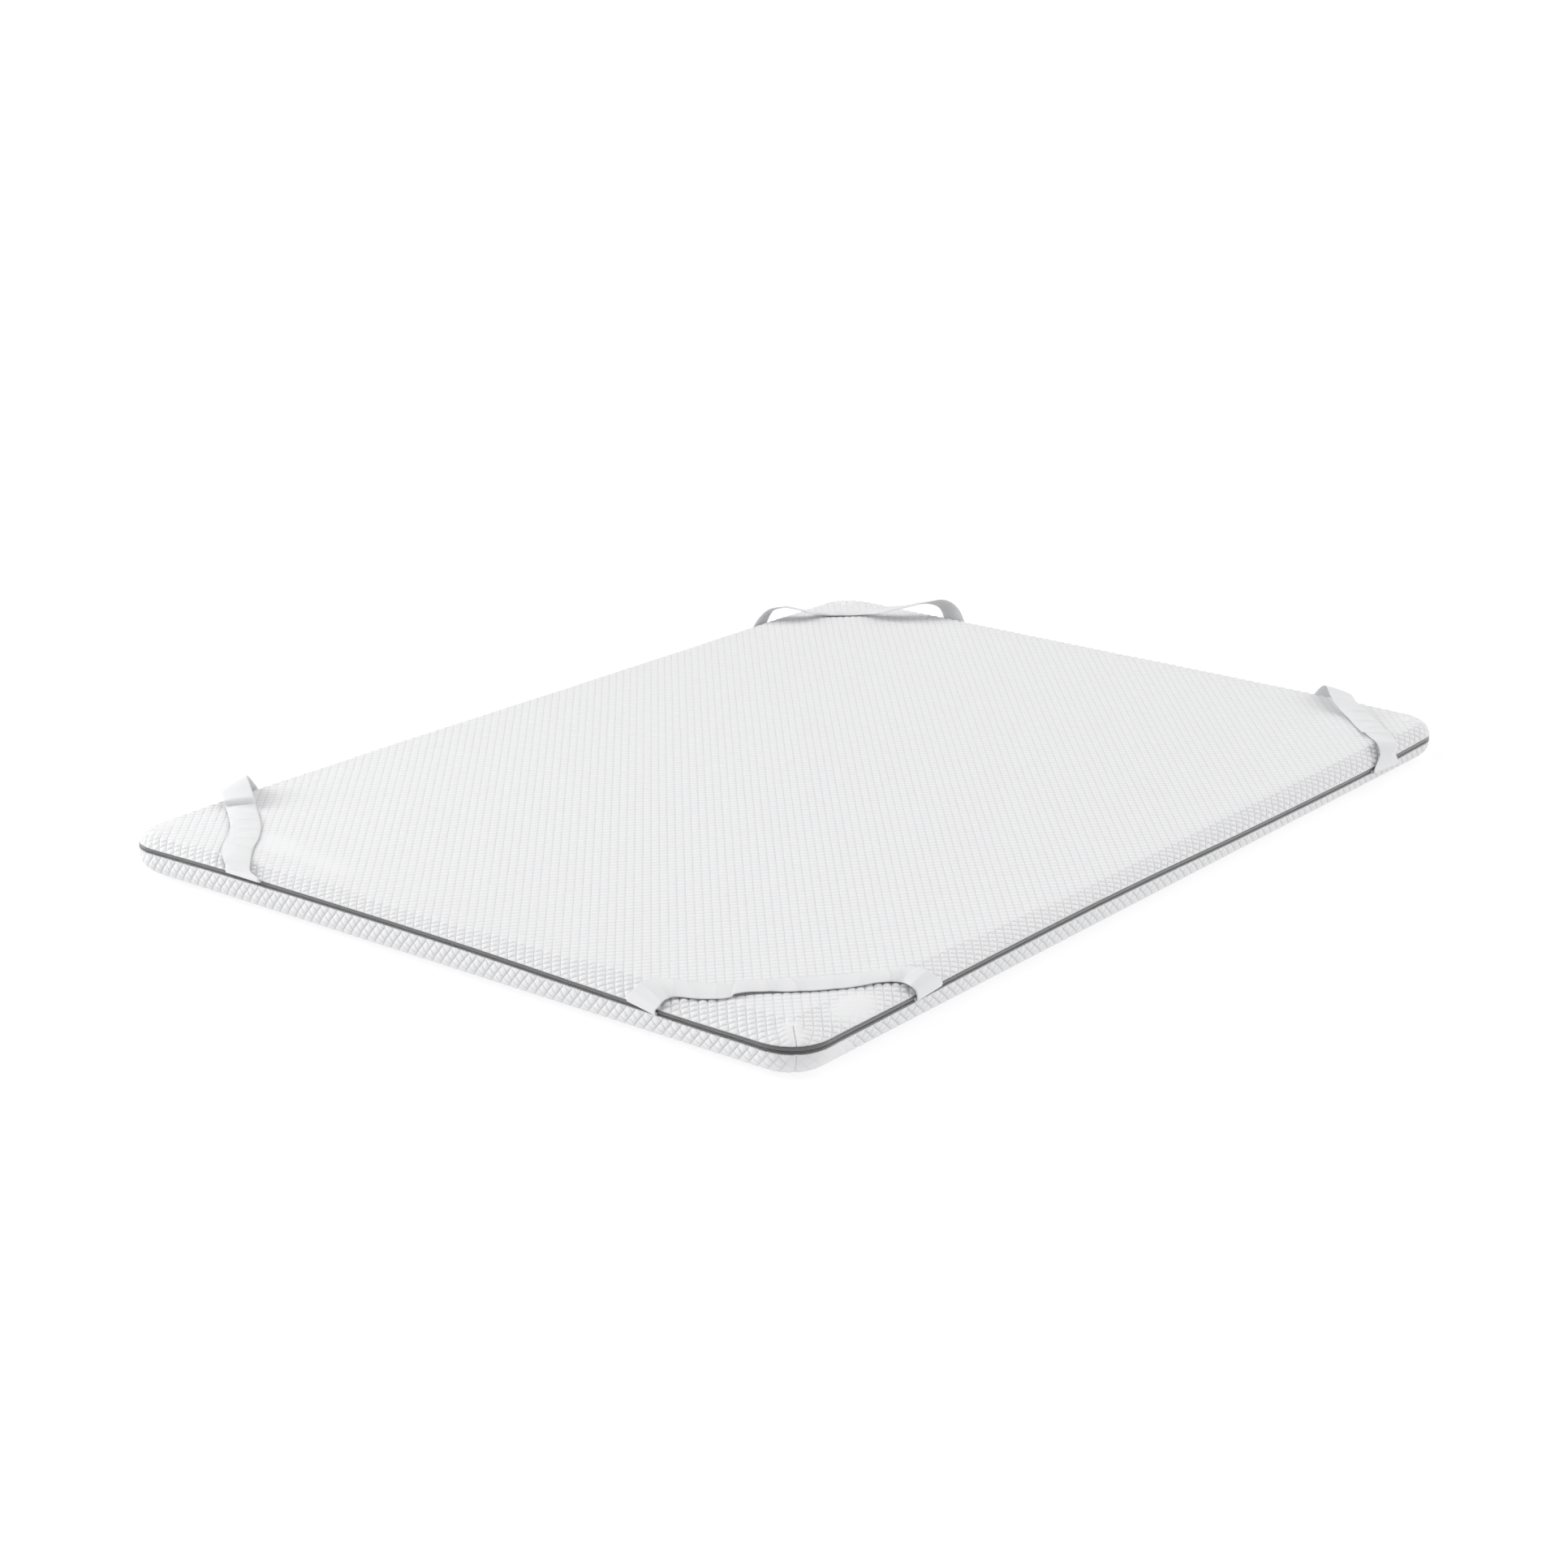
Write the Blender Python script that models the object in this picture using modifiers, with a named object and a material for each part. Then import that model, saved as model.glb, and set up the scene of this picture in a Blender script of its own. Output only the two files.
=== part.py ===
"""Mattress topper, 140 x 200 cm: a padded slab in a two-part quilted cover, closed
by a zip that runs all the way round it, with a slack elastic strap across each corner.

Metres, +Z up. The origin is at the middle of the underside, X runs across the width
and Y along the length. The covers are filled solids. Everything that follows the edge
is worked out from stations round the outline, each with the zip's height there.
"""

from collections import namedtuple
from math import cos, pi, radians, sin

import bmesh
import bpy
from mathutils import Vector

MM = 0.001

# Driving dimensions of the pad
WIDTH = 1.400
LENGTH = 2.000
THICKNESS = 0.070
CORNER_RADIUS = 0.072
SHOULDER_INSET = 9 * MM        # the rounded upper edge runs in this far
SHOULDER_EXPONENT = 2.4        # of the superellipse that it follows
UNDERCUT_INSET = 40 * MM       # the lower side draws in this far before the floor
UNDERCUT_HEIGHT = 31 * MM      # and starts to draw in here
UNDERCUT_EXPONENT = 1.77
DART_DEPTH = 1.6 * MM          # the sewn dart at each corner pulls the cloth in
PIECE_GAP = 0.3 * MM           # between pieces that touch

# The zip, as heights from its middle line and depths in from the cover's widest line
SLIT_TOP = -0.8 * MM
SLIT_BOTTOM = -2.0 * MM
SLIT_MIDDLE = (SLIT_TOP + SLIT_BOTTOM) / 2
TAPE_FACE = 0.5 * MM
TAPE_THICKNESS = 1.0 * MM
COIL_RADIUS = 1.1 * MM
COIL_DEPTH = TAPE_FACE + TAPE_THICKNESS + PIECE_GAP + COIL_RADIUS
TAPE_REBATE = TAPE_FACE + TAPE_THICKNESS + PIECE_GAP
COIL_REBATE = COIL_DEPTH + COIL_RADIUS + PIECE_GAP
COIL_ROOM = 2.4 * MM           # height of the coil's rebate above and below the slit
COVER_LIP = 0.4 * MM           # depth of the covers' folded edges beside the tapes
LIP_ROUND = 1.5 * MM           # height in which they reach the widest line
PARTING_INSET = 60 * MM        # behind this the two covers meet in a level plane
PARTING_HEIGHT = 38 * MM

# How finely the outline and the rounded edges are divided
SHORT_SIDE_STEPS = 12
LONG_SIDE_STEPS = 18
CORNER_ANGLES = (0, 11, 22, 33, 42, 45, 48, 57, 68, 79, 90)
DART_ANGLE = 45
EDGE_STEPS = 5
UNDERCUT_STEPS = 7

# The zip waves up and down, and its open band between the covers is of uneven width.
# The sides are counted anticlockwise: turn 0 to 1 is the front, 1 to 2 the right side,
# 2 to 3 the back, 3 to 4 the left.
Wave = namedtuple("Wave", "turn middle band")
ZIP_LINE = (
    # heights in mm
    Wave(0.05, 50.8, 8.2), Wave(0.20, 54.5, 9.0), Wave(0.38, 56.2, 8.4),
    Wave(0.56, 55.2, 8.6), Wave(0.70, 51.5, 8.9), Wave(0.84, 48.6, 8.8),
    Wave(0.95, 48.2, 10.6), Wave(1.00, 46.6, 11.8), Wave(1.05, 47.8, 11.7),
    Wave(1.16, 49.2, 9.6), Wave(1.27, 50.9, 9.5), Wave(1.40, 50.8, 9.4),
    Wave(1.50, 47.7, 9.2), Wave(1.60, 43.4, 9.1), Wave(1.73, 40.2, 9.0),
    Wave(1.85, 38.6, 9.4), Wave(1.95, 42.0, 10.2), Wave(2.10, 45.0, 9.2),
    Wave(2.35, 49.0, 8.8), Wave(2.60, 47.0, 9.0), Wave(2.85, 50.0, 9.4),
    Wave(3.10, 49.0, 9.2), Wave(3.35, 46.0, 8.8), Wave(3.60, 50.0, 9.2),
    Wave(3.86, 48.5, 8.6),
)

# The elastic straps
STRAP_WIDTH = 50 * MM
STRAP_THICKNESS = 1.2 * MM
STRAP_COLUMNS = 3              # faces across a strap
STEPS_PER_ROW = 3              # faces between two rows of a strap's table
STRAP_REACH = 8 * MM           # the middle of a strap's thickness stands out no further
LAYER_OUT = PIECE_GAP + STRAP_THICKNESS / 2   # the sewn end lies this far outside
FOLD_HEIGHT = 1.6 * MM         # height in which a sewn end turns round its fold
SEWN_HEIGHT = 3.6 * MM         # height of the sewn end above the fold
FREE_HEIGHT = 8 * MM           # height of the free layer that runs up from the fold

Root = namedtuple("Root", "place edge lean drop bulge")
Row = namedtuple("Row", "u v z swing lean")
Strap = namedtuple("Strap", "name corner start rows end")

# Each strap runs from a root on the front or back side to one on the left or right
# side. A root's place is its distance from the corner, its edge is the length of its
# fold, its lean is the fold's slope in degrees (the end away from the corner is up),
# its drop is how far the fold hangs below the seam, and its bulge how far it stands out.
# A row gives the strap's middle line: u and v from the corner along X and Y, the height
# z, and the turn and lean of the crossing direction in degrees. All lengths are in mm.
STRAPS = (
    Strap("strap_near", (1, -1), Root(281, 54, 9, 3, 4), (
        Row(273, -3, 67, 2, 16),
        Row(264, 8, 80, 13, 18),
        Row(246, 25, 82, 32, 11),
        Row(222, 45, 78, 42, 7),
        Row(198, 66, 76, 45, 3),
        Row(184, 82, 76, 52, 0),
        Row(161, 110, 79, 56, -4),
        Row(119, 162, 77, 53, 1),
        Row(75, 217, 77, 56, 2),
        Row(44, 256, 80, 60, 0),
        Row(14, 284, 80, 80, 8),
        Row(-3, 295, 70, 90, 8),
    ), Root(304, 62, 4, 4, 6)),
    Strap("strap_left", (-1, -1), Root(298, 74, 0, 0, 7), (
        Row(286, -5, 73, 10, -4),
        Row(260, 17, 81, 24, -4),
        Row(232, 47, 82, 26, -3),
        Row(202, 86, 79, 32, 0),
        Row(167, 123, 79, 42, -1),
        Row(128, 156, 81, 48, -3),
        Row(89, 185, 83, 51, -2),
        Row(53, 212, 89, 56, 8),
        Row(19, 236, 96, 62, 24),
        Row(1, 262, 80, 72, 20),
    ), Root(285, 52, 10, 3, 5)),
    Strap("strap_right", (1, 1), Root(250, 54, 8, 2, 7), (
        Row(238, -3, 73, 6, 14),
        Row(214, 16, 88, 24, 16),
        Row(180, 60, 88, 27, 12),
        Row(142, 100, 86, 29, 0),
        Row(98, 143, 84, 34, 0),
        Row(56, 184, 81, 46, 0),
        Row(22, 214, 80, 56, 6),
        Row(1, 231, 75, 70, 10),
        Row(-6, 240, 60, 82, 4),
    ), Root(246, 92, 3, 11, 7)),
    Strap("strap_far", (-1, 1), Root(286, 52, 0, 3, 7), (
        Row(275, -6, 82, 4, 8),
        Row(264, 2, 96, 12, 18),
        Row(250, 18, 103, 17, 22),
        Row(230, 42, 100, 30, 18),
        Row(198, 76, 93, 41, 10),
        Row(156, 112, 84, 46, 4),
        Row(110, 158, 82, 52, 4),
        Row(74, 194, 84, 60, 8),
        Row(46, 216, 91, 66, 15),
        Row(22, 234, 95, 64, 14),
        Row(3, 254, 91, 66, 15),
        Row(-5, 272, 77, 75, 8),
    ), Root(284, 50, 0, 3, 6)),
)

# Finishes: linear colour, roughness, metallic
COVER_FINISH = ((0.86, 0.86, 0.86), 0.85, 0.0)
TAPE_FINISH = ((0.115, 0.117, 0.122), 0.70, 0.0)
COIL_FINISH = ((0.055, 0.056, 0.060), 0.45, 0.0)
STRAP_FINISH = ((0.83, 0.84, 0.86), 0.75, 0.0)

Station = namedtuple("Station", "foot out zip_z half dart")


def between(before, low, high, after, share):
    """A point on the smooth curve from low to high, given their neighbours."""
    square, cube = share * share, share * share * share
    return tuple(
        0.5 * (2 * b + (c - a) * share + (2 * a - 5 * b + 4 * c - d) * square
               + (3 * b - 3 * c + d - a) * cube)
        for a, b, c, d in zip(before, low, high, after)
    )


def zip_at(turn):
    """Height of the zip's middle line at a turn, and half the height of its tapes."""
    turn %= 4
    rows = [row._replace(turn=row.turn + lap) for lap in (-4, 0, 4) for row in ZIP_LINE]
    for i, (low, high) in enumerate(zip(rows, rows[1:])):
        if low.turn <= turn < high.turn:
            share = (turn - low.turn) / (high.turn - low.turn)
            _, middle, band = between(rows[i - 1], low, high, rows[i + 2], share)
            return middle * MM, band / 2 * MM - PIECE_GAP
    raise ValueError(f"no zip at turn {turn}")


def outline():
    """Stations round the pad's widest line, anticlockwise from the front's left end."""
    half_x, half_y = WIDTH / 2, LENGTH / 2
    corners = ((half_x, -half_y), (half_x, half_y), (-half_x, half_y), (-half_x, -half_y))
    stations = []
    for side in range(4):
        length = WIDTH if side % 2 == 0 else LENGTH
        steps = SHORT_SIDE_STEPS if side % 2 == 0 else LONG_SIDE_STEPS
        along = Vector((cos(side * pi / 2), sin(side * pi / 2)))
        out = Vector((along.y, -along.x))
        corner = Vector(corners[side])
        straight = length - 2 * CORNER_RADIUS
        for step in range(1, steps):
            back = CORNER_RADIUS + straight * (1 - step / steps)
            turn = side + 1 - back / length
            stations.append(Station(corner - along * back, out, *zip_at(turn), 0))
        centre = corner - along * CORNER_RADIUS - out * CORNER_RADIUS
        edge = CORNER_RADIUS / length
        for angle in CORNER_ANGLES:
            turned = out * cos(radians(angle)) + along * sin(radians(angle))
            turn = side + 1 + edge * (angle / DART_ANGLE - 1)
            dart = 1 if angle == DART_ANGLE else 0
            foot = centre + turned * CORNER_RADIUS
            stations.append(Station(foot, turned, *zip_at(turn), dart))
    return stations


def superellipse(share, exponent):
    """Sideways and upward reach, 0 to 1, of a quarter superellipse at a share of it."""
    angle = pi / 2 * share
    return 1 - cos(angle) ** (2 / exponent), sin(angle) ** (2 / exponent)


def upper_profile(station):
    """Depth, height and dart pull of the upper cover's section, from the parting up."""
    z = station.zip_z
    seam = z + station.half + PIECE_GAP
    parting = PIECE_GAP / 2
    rows = [
        (PARTING_INSET, PARTING_HEIGHT + parting, 0),
        (COIL_REBATE, z + SLIT_MIDDLE + parting, 0),
        (COIL_REBATE, z + SLIT_MIDDLE + COIL_ROOM, 0),
        (TAPE_REBATE, z + SLIT_MIDDLE + COIL_ROOM, 0),
        (TAPE_REBATE, seam, 0),
        (COVER_LIP, seam, 0),
    ]
    start = seam + LIP_ROUND
    for step in range(EDGE_STEPS + 1):
        inward, upward = superellipse(step / EDGE_STEPS, SHOULDER_EXPONENT)
        height = start + (THICKNESS - start) * upward
        rows.append((SHOULDER_INSET * inward, height, 1 - step / EDGE_STEPS))
    return rows


def lower_profile(station):
    """Depth, height and dart pull of the lower cover's section, from the parting down."""
    z = station.zip_z
    seam = z - station.half - PIECE_GAP
    parting = PIECE_GAP / 2
    rows = [
        (PARTING_INSET, PARTING_HEIGHT - parting, 0),
        (COIL_REBATE, z + SLIT_MIDDLE - parting, 0),
        (COIL_REBATE, z + SLIT_MIDDLE - COIL_ROOM, 0),
        (TAPE_REBATE, z + SLIT_MIDDLE - COIL_ROOM, 0),
        (TAPE_REBATE, seam, 0),
        (COVER_LIP, seam, 0),
        (0, seam - LIP_ROUND, 1),
    ]
    for step in range(UNDERCUT_STEPS + 1):
        inward, upward = superellipse(step / UNDERCUT_STEPS, UNDERCUT_EXPONENT)
        height = UNDERCUT_HEIGHT * (1 - upward)
        rows.append((UNDERCUT_INSET * inward, height, 1 - step / UNDERCUT_STEPS))
    return rows


def point_at(station, depth, z):
    """The point at a depth in from the widest line, at height z."""
    foot = station.foot - station.out * depth
    return Vector((foot.x, foot.y, z))


def make_material(name, finish):
    colour, roughness, metallic = finish
    material = bpy.data.materials.new(name)
    material.use_nodes = True
    shader = material.node_tree.nodes["Principled BSDF"]
    shader.inputs["Base Color"].default_value = (*colour, 1)
    shader.inputs["Roughness"].default_value = roughness
    shader.inputs["Metallic"].default_value = metallic
    return material


def place(name, data, finish, collection):
    """Put a named object with its own material into the collection."""
    data.materials.append(make_material(name, finish))
    part = bpy.data.objects.new(name, data)
    collection.objects.link(part)
    return part


def mesh_from(bm, name):
    """Face the shell outwards and hand it over as a smooth-shaded mesh."""
    bmesh.ops.recalc_face_normals(bm, faces=bm.faces)
    mesh = bpy.data.meshes.new(name)
    bm.to_mesh(mesh)
    bm.free()
    mesh.shade_smooth()
    mesh.set_sharp_from_angle(angle=radians(35))
    return mesh


def add_cover(name, profile, stations, collection):
    """A filled cover: its section lofted round the outline and capped with flat faces.

    Both covers split their squares the same way, so the wavy parting keeps its gap.
    """
    bm = bmesh.new()
    rings = []
    for rows in zip(*(profile(station) for station in stations)):
        ring = []
        for station, (depth, z, pull) in zip(stations, rows):
            drawn_in = depth + DART_DEPTH * pull * station.dart
            ring.append(bm.verts.new(point_at(station, drawn_in, z)))
        rings.append(ring)
    for ring, following in zip(rings, rings[1:]):
        for i in range(len(ring)):
            j = (i + 1) % len(ring)
            bm.faces.new((ring[i], ring[j], following[j]))
            bm.faces.new((ring[i], following[j], following[i]))
    bm.faces.new(rings[0])
    bm.faces.new(rings[-1])
    place(name, mesh_from(bm, name), COVER_FINISH, collection)


def add_tape(name, edges, stations, collection):
    """A zip tape: an upright band round the outline, thickened inwards.

    Edges gives the lower and upper edge's height from the zip's middle at a station.
    """
    bm = bmesh.new()
    low, high = [], []
    for station in stations:
        bottom, top = edges(station)
        low.append(bm.verts.new(point_at(station, TAPE_FACE, station.zip_z + bottom)))
        high.append(bm.verts.new(point_at(station, TAPE_FACE, station.zip_z + top)))
    for i in range(len(low)):
        j = (i + 1) % len(low)
        bm.faces.new((low[i], low[j], high[j], high[i]))
    mesh = bpy.data.meshes.new(name)
    bm.to_mesh(mesh)
    bm.free()
    tape = place(name, mesh, TAPE_FINISH, collection)
    thickness = tape.modifiers.new("thickness", "SOLIDIFY")
    thickness.thickness = TAPE_THICKNESS
    thickness.offset = -1
    thickness.use_even_offset = True


def add_coil(name, stations, collection):
    """The meshed coil: a round cord behind the slit between the tapes."""
    curve = bpy.data.curves.new(name, "CURVE")
    curve.dimensions = "3D"
    curve.bevel_depth = COIL_RADIUS
    curve.bevel_resolution = 1
    spline = curve.splines.new("POLY")
    spline.points.add(len(stations) - 1)
    spline.use_cyclic_u = True
    for point, station in zip(spline.points, stations):
        centre = point_at(station, COIL_DEPTH, station.zip_z + SLIT_MIDDLE)
        point.co = (*centre, 1)
    place(name, curve, COIL_FINISH, collection)


def root_rows(root, on_end_side, seam):
    """A sewn end: down from the seam, round the fold, and up clear of the cover."""
    lean = radians(root.lean)
    layer = LAYER_OUT
    bulge = root.bulge * MM
    drop = root.drop * MM
    middle = (layer + bulge) / 2
    loop = (
        (layer, SEWN_HEIGHT), (layer, FOLD_HEIGHT), (middle, 0),
        (bulge, FOLD_HEIGHT), (bulge, FREE_HEIGHT),
    )
    rows = []
    for out, rise in loop:
        place_along = root.place * MM
        u, v = (-out, place_along) if on_end_side else (place_along, -out)
        swing = pi / 2 if on_end_side else 0
        rows.append((u, v, seam - drop + rise, swing, lean, root.edge * MM))
    return rows


def side_turn(corner, place_along, on_end_side):
    """The zip line's turn at a distance from a corner, along one of its sides."""
    right, back = corner[0] > 0, corner[1] > 0
    if on_end_side:
        share = place_along / LENGTH
        return (2 - share if back else 1 + share) if right else (3 + share if back else 4 - share)
    share = place_along / WIDTH
    return (2 + share if back else 1 - share) if right else (3 - share if back else share)


def strap_rows(strap):
    """All the rows of a strap, smoothed: middle point, crossing direction and width."""
    ends = []
    for root, on_end_side in ((strap.start, False), (strap.end, True)):
        turn = side_turn(strap.corner, root.place * MM, on_end_side)
        zip_z, half = zip_at(turn)
        ends.append(root_rows(root, on_end_side, zip_z + half))
    rows = list(ends[0])
    for row in strap.rows:
        angles = (radians(row.swing), radians(row.lean))
        rows.append((row.u * MM, row.v * MM, row.z * MM, *angles, STRAP_WIDTH))
    rows += reversed(ends[1])
    padded = [rows[0], *rows, rows[-1]]
    smooth = []
    for i in range(1, len(padded) - 2):
        for step in range(STEPS_PER_ROW):
            smooth.append(between(*padded[i - 1:i + 3], step / STEPS_PER_ROW))
    smooth.append(rows[-1])
    return smooth


def add_strap(strap, collection):
    """An elastic strap: a ribbon over the rows of its table, thickened both ways."""
    side_x, side_y = strap.corner
    bm = bmesh.new()
    lines = []
    for u, v, z, swing, lean, width in strap_rows(strap):
        across = Vector((cos(swing) * cos(lean), sin(swing) * cos(lean), sin(lean))) * width
        line = []
        for column in range(STRAP_COLUMNS + 1):
            point = Vector((u, v, z)) + across * (column / STRAP_COLUMNS - 0.5)
            in_x, in_y = (max(-STRAP_REACH, inward) for inward in point.xy)
            place_x, place_y = side_x * (WIDTH / 2 - in_x), side_y * (LENGTH / 2 - in_y)
            line.append(bm.verts.new((place_x, place_y, point.z)))
        lines.append(line)
    for line, following in zip(lines, lines[1:]):
        for i in range(STRAP_COLUMNS):
            bm.faces.new((line[i], line[i + 1], following[i + 1], following[i]))
    ribbon = place(strap.name, mesh_from(bm, strap.name), STRAP_FINISH, collection)
    thickness = ribbon.modifiers.new("thickness", "SOLIDIFY")
    thickness.thickness = STRAP_THICKNESS
    thickness.offset = 0


def main():
    for thing in list(bpy.data.objects):
        bpy.data.objects.remove(thing, do_unlink=True)
    topper = bpy.data.collections.new("mattress_topper")
    bpy.context.scene.collection.children.link(topper)
    stations = outline()
    add_cover("cover_upper", upper_profile, stations, topper)
    add_cover("cover_lower", lower_profile, stations, topper)
    add_tape("zip_tape_upper", lambda s: (SLIT_TOP, s.half), stations, topper)
    add_tape("zip_tape_lower", lambda s: (-s.half, SLIT_BOTTOM), stations, topper)
    add_coil("zip_coil", stations, topper)
    for strap in STRAPS:
        add_strap(strap, topper)


if __name__ == "__main__":
    main()
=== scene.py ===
"""Looks of a quilted mattress topper with a zip round its sides and elastic straps.

Metres, +Z up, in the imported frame: X across the width, Y along the length, and the
origin in the middle of the underside. The covers are quilted in diamonds whose stitch
lines are the whole numbers of two lattice coordinates, alpha and beta, of the cloth
laid out flat. The cloth is folded over the pad's edges by following its section lines.
"""

from collections import namedtuple
from math import cos, pi, radians, sin

import bpy
import numpy as np
from mathutils import Matrix, Vector


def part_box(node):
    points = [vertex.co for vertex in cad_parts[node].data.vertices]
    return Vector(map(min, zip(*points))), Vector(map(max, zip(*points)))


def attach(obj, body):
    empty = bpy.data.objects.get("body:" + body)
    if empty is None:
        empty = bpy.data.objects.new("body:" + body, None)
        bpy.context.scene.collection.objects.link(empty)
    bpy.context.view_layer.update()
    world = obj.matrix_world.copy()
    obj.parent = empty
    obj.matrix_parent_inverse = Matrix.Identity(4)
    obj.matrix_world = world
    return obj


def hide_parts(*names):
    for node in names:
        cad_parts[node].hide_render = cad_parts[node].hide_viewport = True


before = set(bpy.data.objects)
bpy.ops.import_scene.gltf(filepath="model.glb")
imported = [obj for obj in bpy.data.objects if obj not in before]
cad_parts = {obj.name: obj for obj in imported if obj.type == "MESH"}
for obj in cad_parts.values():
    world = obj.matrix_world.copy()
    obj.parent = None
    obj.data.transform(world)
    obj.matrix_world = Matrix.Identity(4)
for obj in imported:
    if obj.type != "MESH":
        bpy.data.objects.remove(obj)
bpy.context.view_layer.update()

MM = 0.001

# The pad, read from the frame, and the shape of its edges
cover_low, cover_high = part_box("cover_upper")
WIDTH = cover_high.x - cover_low.x
LENGTH = cover_high.y - cover_low.y
THICKNESS = cover_high.z
CORNER_RADIUS = 72 * MM
CORE_X = WIDTH / 2 - CORNER_RADIUS
CORE_Y = LENGTH / 2 - CORNER_RADIUS
PERIMETER = 4 * (CORE_X + CORE_Y) + 2 * pi * CORNER_RADIUS
SHOULDER_EXPONENT = 1.75
UNDERCUT_INSET = 40 * MM
UNDERCUT_HEIGHT = 31 * MM
UNDERCUT_EXPONENT = 1.77
SECTION_STEPS = 16             # points on a section line's curved stretch
PIECE_GAP = 0.3 * MM
COVER_LIP = 0.4 * MM           # the covers' folded edges lie this deep beside the tapes
LIP_ROUND = 1.5 * MM
HEM_DEPTH = 2.4 * MM           # and turn in this far behind them

# Quilting
ALPHA_X, ALPHA_Y = 57.5, 48.0  # lattice steps for each metre across and along
LONGEST_FOLD = 100 * MM        # no section line is as long as this
EDGE_STEPS = 6                 # mesh steps for each side of a diamond near the edges
STEP_PLACES = np.array((0, 0.10, 0.27, 0.5, 0.73, 0.90))
JOINED_BAND = 13 * MM          # inside the fine steps, diamonds that join on to them
SNAP = 1.1 * MM                # vertices this near the hem lie on it
PLUMPNESS = 0.85               # exponent of a diamond's crown: lower is flatter on top
RIDGE_PLUMPNESS = 0.6
RIDGE_LEFT = 0.56              # share of a ridge's height that is left in its creases
SIDE_BLEND = 12 * MM           # past the fold, the side's crowns take over by here
BAND_START = (26 * MM, 44 * MM)   # the lower side's quilting rises over this stretch
UNDERSIDE_LEFT = 0.25          # from this share of it on the underside
SLACK_DEPTH = 0.5 * MM         # unevenness of the padding
SLACK_FADE = 10 * MM           # it fades out beside the hem
SLACK_SIZE = 2.6               # metres that hold so many of these waves: x, y, phase
SLACK_WAVES = ((6.1, 2.3, 0.4), (-3.7, 7.9, 2.1), (11.3, -4.9, 4.0), (2.9, 13.1, 1.3),
               (-15.7, -8.3, 5.2), (19.1, 21.7, 0.9))

# The sewn dart at each corner, which pulls the cloth in, and its ears. Reaches are
# distances from the middle of a corner's rounding.
DART_DEPTH = 1.4 * MM
DART_WIDTH = 2.4 * MM
DART_BLEND = (22 * MM, 42 * MM)   # the cloth is cut and turned to the dart from here
DART_STRETCH = (18 * MM, 5 * MM)  # this near a dart the cloth is stretched smooth
STRETCH_REACH = (10 * MM, 30 * MM)
STRETCH = 0.8                  # share of the quilting that is lost there
EAR_REACH = 33 * MM            # an ear's middle, and the dart's upper end
EAR_ASIDE = 6 * MM             # how far beside the dart it lies
EAR_LENGTH = 9 * MM
EAR_WIDTH = 7 * MM
EAR_HEIGHT = 2.0 * MM
DART_START = 8 * MM            # the dart deepens over this length

# The zip
TAPE_FACE = 0.5 * MM
TAPE_THICKNESS = 1.0 * MM
SLIT_TOP = -0.8 * MM
SLIT_BOTTOM = -2.0 * MM
COIL_RADIUS = 1.1 * MM
COIL_DEPTH = TAPE_FACE + TAPE_THICKNESS + PIECE_GAP + COIL_RADIUS
ZIP_STEP = 4 * MM              # length of a face along the zip
COIL_SIDES = 8
TAPE_FACE_LINE = (             # share of a tape's height, and depth in mm
    (0.02, 0.35), (0.1, 0.05), (0.35, -0.08), (0.65, -0.08), (0.9, 0.05), (0.98, 0.35),
)

# The top starts to round down this far in from the pad's widest line: (run, mm) with
# the run round the outline in metres from the front's left end. The near corner, where
# the cloth is slack, falls away the most.
FOLD_LINE = (
    (0.0, 28), (0.25, 40), (0.75, 44), (1.00, 60), (1.15, 68), (1.31, 68), (1.47, 67),
    (1.62, 58), (1.90, 42), (2.90, 36), (3.20, 26), (3.45, 15), (4.00, 12), (5.50, 12),
    (6.30, 14), (6.55, 22),
)

# Where the quilting lies pressed flat: middle, half sizes, turn in degrees, amount
Patch = namedtuple("Patch", "x y long wide turn amount")
UPPER_PATCHES = (
    Patch(0.672, -0.835, 0.052, 0.030, 100, 1.0),
    Patch(-0.46, -0.880, 0.070, 0.030, -10, 0.7),
    Patch(-0.33, -0.895, 0.070, 0.025, -10, 0.5),
    Patch(-0.675, -0.925, 0.030, 0.022, 60, 0.6),
)
LOWER_PATCHES = (Patch(0.700, -0.922, 0.048, 0.060, 90, 0.9),)


# -------- outline and zip line

def outline_place(x, y):
    """Outward direction, distance from the corner circles' line, and run round it."""
    core_x = np.clip(x, -CORE_X, CORE_X)
    core_y = np.clip(y, -CORE_Y, CORE_Y)
    away_x, away_y = x - core_x, y - core_y
    reach = np.hypot(away_x, away_y)
    safe = np.where(reach > 0, reach, 1)
    out_x, out_y = away_x / safe, away_y / safe
    angle = (np.arctan2(out_y, out_x) + pi / 2) % (2 * pi)
    quarter = np.floor((angle + pi / 4) / (pi / 2)).astype(int) % 4
    angle = np.where((quarter == 0) & (angle > pi), angle - 2 * pi, angle)
    along_core = np.choose(quarter, (
        core_x + CORE_X,
        2 * CORE_X + core_y + CORE_Y,
        2 * CORE_X + 2 * CORE_Y + CORE_X - core_x,
        4 * CORE_X + 2 * CORE_Y + CORE_Y - core_y,
    ))
    return out_x, out_y, reach, along_core + CORNER_RADIUS * angle


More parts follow.
